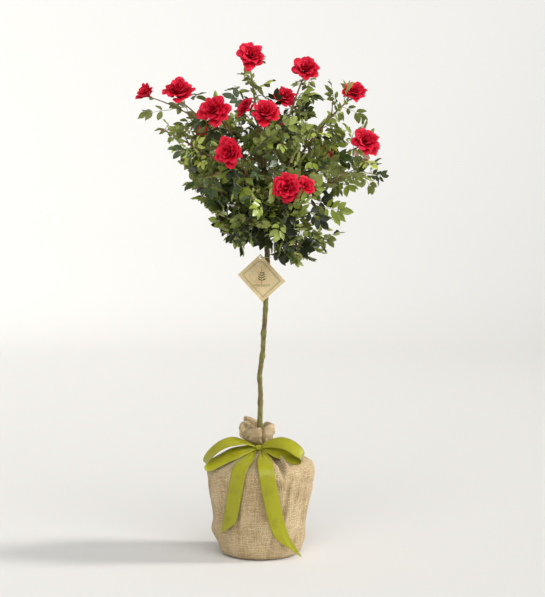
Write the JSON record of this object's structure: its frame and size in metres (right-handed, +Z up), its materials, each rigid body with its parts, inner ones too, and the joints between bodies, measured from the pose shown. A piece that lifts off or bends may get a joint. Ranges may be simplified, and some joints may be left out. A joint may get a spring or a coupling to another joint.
{
  "type": "standard rose in a wrapped pot",
  "caption": "Standard rose: a bushy crown of canes, leaves and double blooms on a bare trunk, in a pot wrapped in a burlap sack tied with a ribbon bow.",
  "frame": {"origin": "middle of the flat underside that the wrapped pot stands on", "axes": "+Z up along the trunk, +X to the right and the bow's side towards -Y"},
  "size_m": [0.5268, 0.4488, 1.0245],
  "materials": {
    "burlap": "coarse woven jute, matte",
    "ribbon": "soft satin ribbon with a woven edge",
    "kraft_card": "matte kraft card",
    "twine": "twisted twine",
    "bark": "olive-green bark with brown scars",
    "cane": "smooth green-brown cane",
    "foliage": "semi-glossy leaves with red blooms"
  },
  "bodies": {
    "root": {"bough_back_left": "cane", "bough_back_low": "cane", "bough_back_middle": "cane", "bough_back_right": "cane", "bough_front_left": "cane", "bough_front_right": "cane", "bough_left_back": "cane", "bough_left_high": "cane", "bough_left_low": "cane", "bough_left_middle": "cane", "bough_low_front": "cane", "bough_low_left": "cane", "bough_low_right": "cane", "bough_right_high": "cane", "bough_right_low": "cane", "bough_right_middle": "cane", "bough_top_front": "cane", "bough_top_left": "cane", "bough_top_right": "cane", "bough_upper_left": "cane", "burlap_ruffle": "burlap", "burlap_sack": "burlap", "foliage_back_left": "foliage", "foliage_back_low": "foliage", "foliage_back_middle": "foliage", "foliage_back_right": "foliage", "foliage_front_left": "foliage", "foliage_front_right": "foliage", "foliage_left_back": "foliage", "foliage_left_high": "foliage", "foliage_left_low": "foliage", "foliage_left_middle": "foliage", "foliage_low_front": "foliage", "foliage_low_left": "foliage", "foliage_low_right": "foliage", "foliage_right_high": "foliage", "foliage_right_low": "foliage", "foliage_right_middle": "foliage", "foliage_top_front": "foliage", "foliage_top_left": "foliage", "foliage_top_right": "foliage", "foliage_upper_left": "foliage", "ribbon_band": "ribbon", "ribbon_knot": "ribbon", "ribbon_loop_left": "ribbon", "ribbon_loop_right": "ribbon", "ribbon_tail_left": "ribbon", "ribbon_tail_right": "ribbon", "tag": "kraft_card", "tag_tie": "twine", "trunk": "bark"}
  },
  "joints": []
}
